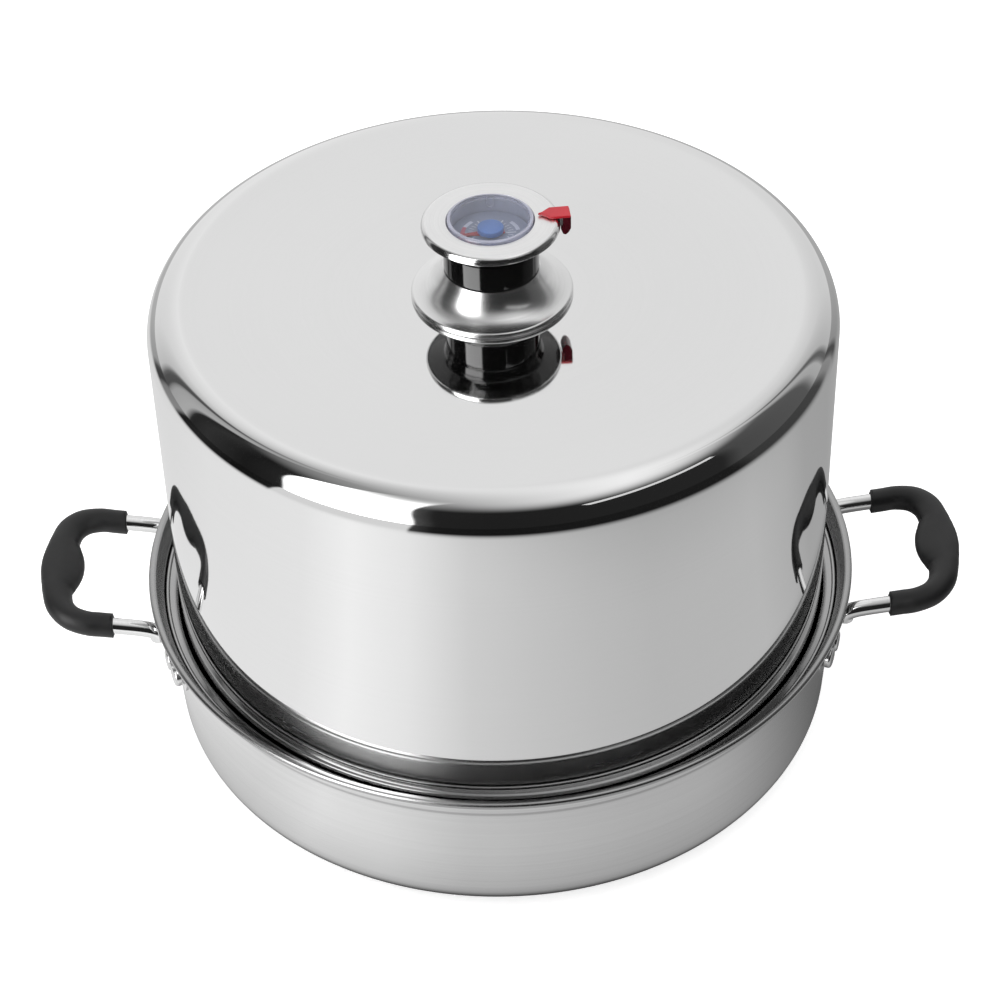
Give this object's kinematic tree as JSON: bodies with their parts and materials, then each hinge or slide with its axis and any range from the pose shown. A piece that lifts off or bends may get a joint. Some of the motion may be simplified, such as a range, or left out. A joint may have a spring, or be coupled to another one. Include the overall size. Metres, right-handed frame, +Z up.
{
  "type": "steam canner",
  "caption": "Stove-top steam canner: a wide steel pan with side handles, a hanging rack and a deep polished lid whose knob holds a dial thermometer.",
  "frame": {"origin": "centre of the pan's flat underside, where it stands on the stove", "axes": "+Z up through the lid's knob, X through the two side handles"},
  "size_m": [0.4314, 0.33, 0.2699],
  "materials": {
    "pan_steel": "stainless steel, soft polish with fine turned lines",
    "rack_steel": "stainless steel, bright pressed sheet",
    "lid_steel": "mirror-polished stainless steel",
    "rivet_steel": "satin stainless steel",
    "bracket_steel": "satin stainless steel",
    "rod_steel": "polished stainless steel rod",
    "grip_black": "matte black moulded silicone",
    "knob_steel": "polished stainless steel, satin top ring",
    "collar_black": "glossy black moulded plastic",
    "fitting_steel": "plain machined stainless steel",
    "seal_silicone": "grey silicone",
    "gauge_steel": "drawn thin steel cup",
    "dial_face": "printed dial with coloured zones and ticks",
    "lens_clear": "clear moulded lens",
    "coil_bronze": "bimetal strip",
    "needle_red": "painted thin pointer",
    "hub_blue": "blue moulded hub cap",
    "clip_red": "red enamelled spring clip"
  },
  "bodies": {
    "pan": {"pan": "pan_steel", "right_front_bracket": "bracket_steel", "right_rear_bracket": "bracket_steel", "left_front_bracket": "bracket_steel", "left_rear_bracket": "bracket_steel", "right_front_rivet_1": "rivet_steel", "right_front_rivet_2": "rivet_steel", "right_rear_rivet_1": "rivet_steel", "right_rear_rivet_2": "rivet_steel", "left_front_rivet_1": "rivet_steel", "left_front_rivet_2": "rivet_steel", "left_rear_rivet_1": "rivet_steel", "left_rear_rivet_2": "rivet_steel", "right_handle_rod": "rod_steel", "left_handle_rod": "rod_steel", "right_grip": "grip_black", "left_grip": "grip_black"},
    "rack": {"rack": "rack_steel"},
    "lid": {"lid": "lid_steel", "knob_skirt": "knob_steel", "knob_collar": "collar_black", "knob_cap": "knob_steel", "knob_stem": "fitting_steel", "seal_washer": "seal_silicone", "steel_washer": "fitting_steel", "lock_nut": "fitting_steel", "gauge_cup": "gauge_steel", "dial_plate": "dial_face", "gauge_lens": "lens_clear", "probe_tube": "fitting_steel", "bimetal_coil": "coil_bronze"},
    "gauge_needle": {"gauge_needle": "needle_red", "needle_hub": "hub_blue", "needle_spindle": "fitting_steel"},
    "altitude_clip": {"altitude_clip": "clip_red"}
  },
  "joints": [
    {"name": "rack_lift", "type": "slide", "parent": "pan", "child": "rack", "axis": [0, 0, 1], "range_m": [0, 0.12]},
    {"name": "lid_lift", "type": "slide", "parent": "rack", "child": "lid", "axis": [0, 0, 1], "range_m": [0, 0.25]},
    {"name": "needle_turn", "type": "hinge", "parent": "lid", "child": "gauge_needle", "pos_m": [0, 0, 0.26], "axis": [0, 0, 1], "range_deg": [-150, 150]},
    {"name": "clip_turn", "type": "hinge", "parent": "lid", "child": "altitude_clip", "pos_m": [0, 0, 0.268], "axis": [0, 0, 1], "continuous": true}
  ]
}
